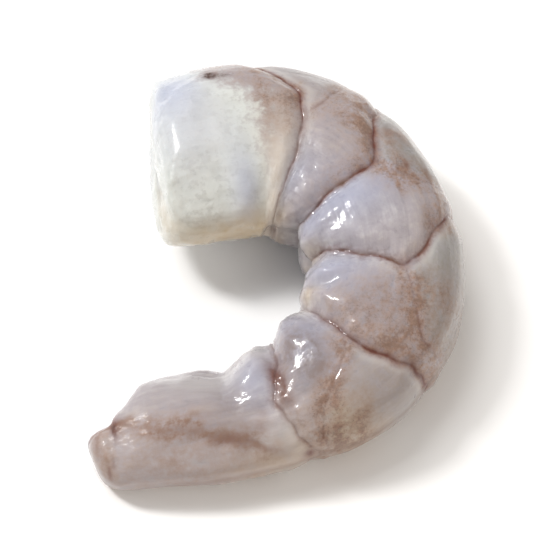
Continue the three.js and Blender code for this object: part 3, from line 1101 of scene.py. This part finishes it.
# %% Colours of the flesh
MILK = (0.60, 0.61, 0.575, 1)
MOSS = (0.50, 0.515, 0.475, 1)
PALE = (0.62, 0.60, 0.58, 1)
FLESH = (0.385, 0.35, 0.362, 1)
# ICE and FROST are the bluish tone and painted sheen of the swellings. FROST also colours the groove on the
# cut face.
ICE = (0.36, 0.37, 0.46, 1)
FROST = (0.42, 0.44, 0.525, 1)
GREY = (0.26, 0.262, 0.24, 1)
# A dark grey lilac, both for random mottling and for painted shade.
DARK_MOTTLE_AND_SHADE = (0.23, 0.20, 0.21, 1)
# HONEY is the colour of the painted warm glow.
HONEY = (0.50, 0.38, 0.22, 1)
BROWN = (0.30, 0.195, 0.145, 1)
SEPIA = (0.26, 0.17, 0.13, 1)
UMBER = (0.19, 0.11, 0.085, 1)
RUST = (0.13, 0.038, 0.024, 1)
SOOT = (0.14, 0.088, 0.07, 1)
PITCH = (0.075, 0.04, 0.03, 1)
print("the milkiest flesh reflects", MILK[:3])

# %% [markdown]
# ## Patterns to mottle with
# No part of the flesh is evenly coloured. Four noises of different sizes serve everywhere: clouds, patches,
# grains, and fibres, which are drawn out along the straightened body. One helper varies an amount with some
# of the patterns, and another lays a coat of colour where a field says, varied in the same way.

# %% Paint
FIBRE_DRAW = (0.13, 1, 1)


class Paint(Sums):
    """Formulas for the finish, from the mesh's facts and four patterns."""

    def __init__(self, tree):
        super().__init__(tree)
        self.where = self.node("ShaderNodeTexCoord").outputs["Object"]
        lengthwise = self.squeeze(self.fact("straight", "Vector"), FIBRE_DRAW)
        self.patterns = {
            "clouds": self.noise(self.where, scale=230.0, detail=3.0, shift=1.0),
            "patchy": self.noise(self.where, scale=520.0, detail=2.0, shift=3.0),
            "grains": self.noise(self.where, scale=1400.0, detail=3.0, shift=2.0, rough=0.65),
            "fibres": self.noise(lengthwise, scale=1.5, detail=3.0, shift=6.0, rough=0.6),
        }

    def fact(self, name, output="Fac"):
        """A fact that the mesh carries."""
        made = self.node("ShaderNodeAttribute", attribute_type="GEOMETRY", attribute_name=name)
        return made.outputs[output]

    def mix(self, amount, first, second):
        """The first colour at 0, the second at 1."""
        inputs = {"Factor": amount, "A": first, "B": second}
        return self.node("ShaderNodeMix", inputs, data_type="RGBA").outputs["Result"]

    def mottled(self, amount, **weights):
        """An amount plus so much of each named pattern."""
        return self.add(amount, *(self.mul(self.patterns[name], weight) for name, weight in weights.items()))

    def lay(self, colour, coat, field, amount, **weights):
        """A coat over a colour, as thick as a field and a mottled amount say."""
        return self.mix(self.mul(self.fact(field), self.mottled(amount, **weights)), colour, coat)


flesh.use_nodes = True
paint = Paint(flesh.node_tree)
print("patterns", list(paint.patterns))

# %% [markdown]
# ## Ground colours
# The head end is bare muscle, milky with greener patches. Behind it a thin skin makes the flesh lilac grey.
# The edge between the two is ragged, because the skin tore there. Fibres and patches then lighten both, and
# dull the lilac grey.

# %% Ground colours
PALENESS = -0.02
DULL_FROM = 0.05
DULLING = -1.1


def ground(paint):
    """The flesh before anything lies on it, and how much skin covers it."""
    torn = paint.mottled(paint.fact("bare"), patchy=5.0, clouds=5.0, grains=6.0)
    skin = paint.step(torn, low=-1.8, high=2.2)
    greenish = paint.step(paint.mottled(0.0, patchy=1.0, fibres=0.8, grains=1.6), low=0.0, high=0.3)
    colour = paint.mix(skin, paint.mix(greenish, MILK, MOSS), FLESH)
    pale = paint.mottled(PALENESS, fibres=1.4, patchy=1.1, clouds=0.7, grains=1.3)
    colour = paint.mix(paint.calc("MAXIMUM", pale, 0.0, clamp=True), colour, PALE)
    dull = paint.calc("MAXIMUM", paint.mul(paint.add(pale, DULL_FROM), DULLING), 0.0, clamp=True)
    return paint.mix(paint.mul(dull, skin), colour, DARK_MOTTLE_AND_SHADE), skin


colour, skin = ground(paint)
print("ground of", len(flesh.node_tree.nodes), "nodes")

# %% [markdown]
# ## Thin coats
# The fields of colour are laid over the ground like glazes: grey wedges, cream muscle with some painted
# light, pale rims, the cut face with its groove, bluish gleams that are partly a painted sheen, painted
# shade and a painted warm glow. Most are mottled, so that no edge of a patch shows.

# %% Thin coats


def glaze(paint, colour, skin):
    """The flesh with its thin coats of colour."""
    colour = paint.lay(colour, GREY, "wedge", 0.8, patchy=1.0, grains=2.0)
    # cream muscle, with painted light on the belly strip behind the head end
    colour = paint.lay(colour, PALE, "cream_and_painted_light", 0.9)
    colour = paint.lay(colour, PALE, "rim", 0.8, patchy=1.0, grains=1.0)
    colour = paint.lay(colour, MOSS, "face", 0.7, patchy=1.0)
    colour = paint.lay(colour, FROST, "midline", 0.5)
    # bluish tone with a painted sheen on the swellings
    colour = paint.lay(colour, paint.mix(skin, FROST, ICE), "gleam", 0.92)
    # painted shade
    colour = paint.lay(colour, DARK_MOTTLE_AND_SHADE, "painted_shade", 0.8, clouds=1.0, patchy=1.0, grains=1.5)
    # painted warm glow, with some of the flesh's own warmer tone
    return paint.lay(colour, HONEY, "warm_glow_and_tone", 0.7, patchy=1.0)


colour = glaze(paint, colour, skin)
print("glazed,", len(flesh.node_tree.nodes), "nodes")

# %% [markdown]
# ## Brown grains
# The brown of the back is thousands of tiny grains of pigment in the skin. It is built from coarse to fine:
# a mottled brown cloud, dark flakes from a very fine noise, and separate dots, one in each cell of a cell
# pattern. A random number of the cell decides whether it has a dot at all.

# %% Brown grains
FLAKE_SCALE = 2600.0
FLAKE_STRENGTH = 0.45
FLAKES_OF_CLOUDS = 0.16
DOT_SCALE = 3600.0
DOT_STRENGTH = 0.4


def pigment(paint, colour, skin):
    """The flesh with its clouds of brown grains."""
    cloud, patchy = paint.fact("cloud"), paint.patterns["patchy"]
    thick = paint.mottled(0.72, grains=2.4, patchy=2.2, fibres=1.0, clouds=0.8)
    colour = paint.mix(paint.mul(cloud, thick, skin), colour, BROWN)
    colour = paint.lay(colour, UMBER, "seam_line", 0.85, patchy=2.0)
    fine = paint.noise(paint.where, FLAKE_SCALE, detail=3.0, shift=9.0, rough=0.7)
    crowded = paint.add(paint.mottled(fine, patchy=0.7), paint.mul(cloud, FLAKES_OF_CLOUDS))
    flakes = paint.step(crowded, low=0.04, high=0.34)
    flaky = paint.step(cloud, low=0.05, high=0.8)
    colour = paint.mix(paint.mul(flakes, flaky, skin, FLAKE_STRENGTH), colour, SOOT)
    cells = paint.node("ShaderNodeTexVoronoi", {"Vector": paint.where, "Scale": DOT_SCALE})
    chance = paint.node("ShaderNodeSeparateColor", {"Color": cells.outputs["Color"]})
    dot = paint.step(cells.outputs["Distance"], low=0.32, high=0.12)
    chosen = paint.step(chance.outputs[0], low=0.45, high=0.6)
    clouded = paint.step(paint.add(cloud, patchy), low=0.25, high=0.8)
    colour = paint.mix(paint.mul(dot, chosen, clouded, skin, DOT_STRENGTH), colour, RUST)
    return paint.lay(colour, SEPIA, "tint", 0.7, fibres=1.2, patchy=1.6, grains=2.4)


colour = pigment(paint, colour, skin)
print("clouded,", len(flesh.node_tree.nodes), "nodes")

# %% [markdown]
# ## Dark lines
# A crease is drawn twice: as a thin line and as a wider halo, whose distance is disturbed by grains so that
# its edge is broken. The forks get a fainter line that comes and goes. Marks and pits come last, because
# they are the darkest.

# %% Dark lines
LINE_WIDTH = 0.22
LINE_STRENGTH = 0.6
HALO_WIDTH = 0.5
HALO_STRENGTH = 0.6
HALO_INSET = 0.1
FORK_LINE_WIDTH = 0.25
FORK_INK = 0.35


def draw(paint, colour):
    """The flesh with its creases, forks, marks and pits drawn in."""
    near, clouds = paint.fact("deep"), paint.patterns["clouds"]
    halo = paint.calc("MAXIMUM", paint.mottled(paint.add(near, -HALO_INSET), grains=2.0, patchy=1.0), 0.0)
    line = paint.add(paint.mul(paint.bell(near, LINE_WIDTH), LINE_STRENGTH),
                     paint.mul(paint.bell(halo, HALO_WIDTH), HALO_STRENGTH))
    line = paint.mul(line, paint.fact("ink"), paint.mottled(0.9, patchy=2.2))
    broken = paint.step(clouds, low=-0.1, high=0.12)
    fork_line = paint.mul(paint.bell(paint.fact("fork"), FORK_LINE_WIDTH), broken, FORK_INK)
    mark = paint.mul(paint.fact("mark"), paint.mottled(0.8, grains=1.0))
    ink_colour = paint.mix(paint.step(clouds, low=-0.12, high=0.12), UMBER, RUST)
    colour = paint.mix(paint.highest(line, fork_line, mark), colour, ink_colour)
    return paint.lay(colour, PITCH, "pit", 0.75, grains=3.0, patchy=1.0)


colour = draw(paint, colour)
print("drawn,", len(flesh.node_tree.nodes), "nodes")

# %% [markdown]
# ## Wet and half clear
# The mixed colour goes into the shader. Light spreads by up to about two millimetres in the flesh. The film
# of water is a smooth clear coat that bends light a little more than pure water does. Most of it is missing
# where the flesh is dull. Two fine bumps, one under the film and one in it, break up the highlights.

# %% Wet and half clear
WET_FLESH = {
    "Subsurface Weight": 0.7, "Subsurface Radius": (1.0, 0.92, 0.85), "Subsurface Scale": 0.0018,
    "IOR": 1.38, "Coat IOR": 1.38, "Coat Roughness": 0.06,
}
ROUGHNESS_OF_FLESH = 0.3
ROUGHNESS_OF_DULL = 0.22
FILM = 0.95
FILM_LOST = 0.8
BUMP_DEPTH = 0.0002
FLESH_BUMP = 0.45
FILM_BUMP = 0.25


def wet(paint, shader, colour):
    """Sets the shader up as wet flesh of this colour."""
    dullness = paint.fact("matte")
    rough = paint.add(paint.mottled(ROUGHNESS_OF_FLESH, patchy=0.3), paint.mul(dullness, ROUGHNESS_OF_DULL))
    film = paint.calc("SUBTRACT", FILM, paint.mul(dullness, FILM_LOST))
    paint.feed(shader, {"Base Color": colour, "Roughness": rough, "Coat Weight": film, **WET_FLESH})
    flesh_bumps = paint.mottled(0.0, fibres=0.5, grains=0.6, patchy=1.0)
    film_bumps = paint.mottled(0.0, fibres=1.0, patchy=1.0)
    bumps = {"Normal": (flesh_bumps, FLESH_BUMP), "Coat Normal": (film_bumps, FILM_BUMP)}
    for name, (height, strength) in bumps.items():
        inputs = {"Strength": strength, "Distance": BUMP_DEPTH, "Height": height}
        paint.feed(shader, {name: paint.node("ShaderNodeBump", inputs).outputs[0]})


wet(paint, flesh.node_tree.nodes["Principled BSDF"], colour)
print("flesh material of", len(flesh.node_tree.nodes), "nodes")

# %% [markdown]
# ## Hand over
# The fine skin rides on the solid's body and stands for its node. Both boxes are written down, so that the
# dressed shrimp can be compared with the solid.

# %% Hand over
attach(shrimp, "root")
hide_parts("shrimp")
low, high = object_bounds()
print("dressed", size(low, high), "mm")
